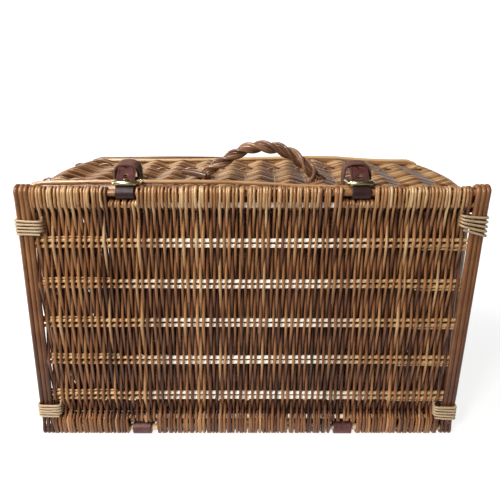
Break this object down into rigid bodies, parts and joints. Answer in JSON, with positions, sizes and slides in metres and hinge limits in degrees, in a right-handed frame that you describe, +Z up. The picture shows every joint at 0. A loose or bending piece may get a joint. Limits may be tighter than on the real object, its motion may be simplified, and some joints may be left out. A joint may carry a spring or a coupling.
{
  "type": "wicker hamper",
  "caption": "Rectangular willow hamper standing on its hinge side, with a woven lid on leather hinges, buckled leather straps and a twisted carrying handle.",
  "frame": {"origin": "on the floor, in the middle of the bounding box", "axes": "+X to the right along the lid, +Y from the lid to the base, +Z up from the hinge side to the handle side"},
  "size_m": [0.5045, 0.25, 0.3448],
  "materials": {
    "willow": "woven buff willow, waxy sheen",
    "peeled_stick": "peeled pale willow, satin",
    "cane": "split cane, satin",
    "strap_leather": "reddish brown, stitched",
    "keeper_leather": "rough flesh side",
    "brass": "polished, pale"
  },
  "bodies": {
    "root": {"base_sticks": "peeled_stick", "base_weave": "willow", "carry_handle": "willow", "corner_post_lower_left": "willow", "corner_post_lower_right": "willow", "corner_post_upper_left": "willow", "corner_post_upper_right": "willow", "foot_border_handle_side": "willow", "foot_border_hinge_side": "willow", "foot_border_left": "willow", "foot_border_right": "willow", "handle_wall_stakes": "peeled_stick", "handle_wall_weave": "willow", "hinge_wall_stakes": "peeled_stick", "hinge_wall_weave": "willow", "left_buckle_chape": "keeper_leather", "left_end_stakes": "peeled_stick", "left_end_weave": "willow", "left_hinge_loop": "strap_leather", "left_strap_keeper": "keeper_leather", "mouth_rim_handle_side": "willow", "mouth_rim_hinge_side": "willow", "mouth_rim_left": "willow", "mouth_rim_right": "willow", "right_buckle_chape": "keeper_leather", "right_end_stakes": "peeled_stick", "right_end_weave": "willow", "right_hinge_loop": "strap_leather", "right_strap_keeper": "keeper_leather"},
    "lid": {"lid_binding_lower_left": "cane", "lid_binding_lower_right": "cane", "lid_binding_upper_left": "cane", "lid_binding_upper_right": "cane", "lid_handle_edge_stick": "peeled_stick", "lid_handle_inner_stick": "peeled_stick", "lid_hinge_edge_stick": "peeled_stick", "lid_hinge_inner_stick": "peeled_stick", "lid_stick_pair_1": "peeled_stick", "lid_stick_pair_2": "peeled_stick", "lid_stick_pair_3": "peeled_stick", "lid_stick_pair_4": "peeled_stick", "lid_stick_pair_5": "peeled_stick", "lid_weave": "willow"},
    "left_buckle": {"left_buckle_frame": "brass"},
    "left_prong": {"left_buckle_prong": "brass"},
    "left_roller": {"left_buckle_roller": "brass"},
    "left_strap_body": {"left_strap": "strap_leather"},
    "right_buckle": {"right_buckle_frame": "brass"},
    "right_prong": {"right_buckle_prong": "brass"},
    "right_roller": {"right_buckle_roller": "brass"},
    "right_strap_body": {"right_strap": "strap_leather"}
  },
  "joints": [
    {"name": "lid_hinge", "type": "hinge", "parent": "root", "child": "lid", "pos_m": [0, -0.115, 0.0083], "axis": [1, 0, 0], "range_deg": [0, 90]},
    {"name": "left_strap_swing", "type": "hinge", "parent": "lid", "child": "left_strap_body", "pos_m": [-0.13158, -0.115, 0.2997], "axis": [1, 0, 0], "range_deg": [0, 90]},
    {"name": "left_buckle_swing", "type": "hinge", "parent": "root", "child": "left_buckle", "pos_m": [-0.13158, -0.0851, 0.30787], "axis": [-1, 0, 0], "range_deg": [0, 64]},
    {"name": "left_prong_swing", "type": "hinge", "parent": "left_buckle", "child": "left_prong", "pos_m": [-0.13158, -0.0851, 0.30787], "axis": [-1, 0, 0], "range_deg": [0, 28]},
    {"name": "left_roller_spin", "type": "hinge", "parent": "left_buckle", "child": "left_roller", "pos_m": [-0.13158, -0.11461, 0.30985], "axis": [1, 0, 0], "continuous": true},
    {"name": "right_strap_swing", "type": "hinge", "parent": "lid", "child": "right_strap_body", "pos_m": [0.11842, -0.115, 0.2997], "axis": [1, 0, 0], "range_deg": [0, 90]},
    {"name": "right_buckle_swing", "type": "hinge", "parent": "root", "child": "right_buckle", "pos_m": [0.11842, -0.0851, 0.30787], "axis": [-1, 0, 0], "range_deg": [0, 64]},
    {"name": "right_prong_swing", "type": "hinge", "parent": "right_buckle", "child": "right_prong", "pos_m": [0.11842, -0.0851, 0.30787], "axis": [-1, 0, 0], "range_deg": [0, 28]},
    {"name": "right_roller_spin", "type": "hinge", "parent": "right_buckle", "child": "right_roller", "pos_m": [0.11842, -0.11461, 0.30985], "axis": [1, 0, 0], "continuous": true}
  ],
  "couplings": [
    {"joint": "left_strap_swing", "follows": "lid_hinge", "ratio": 1},
    {"joint": "left_buckle_swing", "follows": "lid_hinge", "ratio": 0.7},
    {"joint": "left_prong_swing", "follows": "lid_hinge", "ratio": 0.3},
    {"joint": "right_strap_swing", "follows": "lid_hinge", "ratio": 1},
    {"joint": "right_buckle_swing", "follows": "lid_hinge", "ratio": 0.7},
    {"joint": "right_prong_swing", "follows": "lid_hinge", "ratio": 0.3}
  ]
}
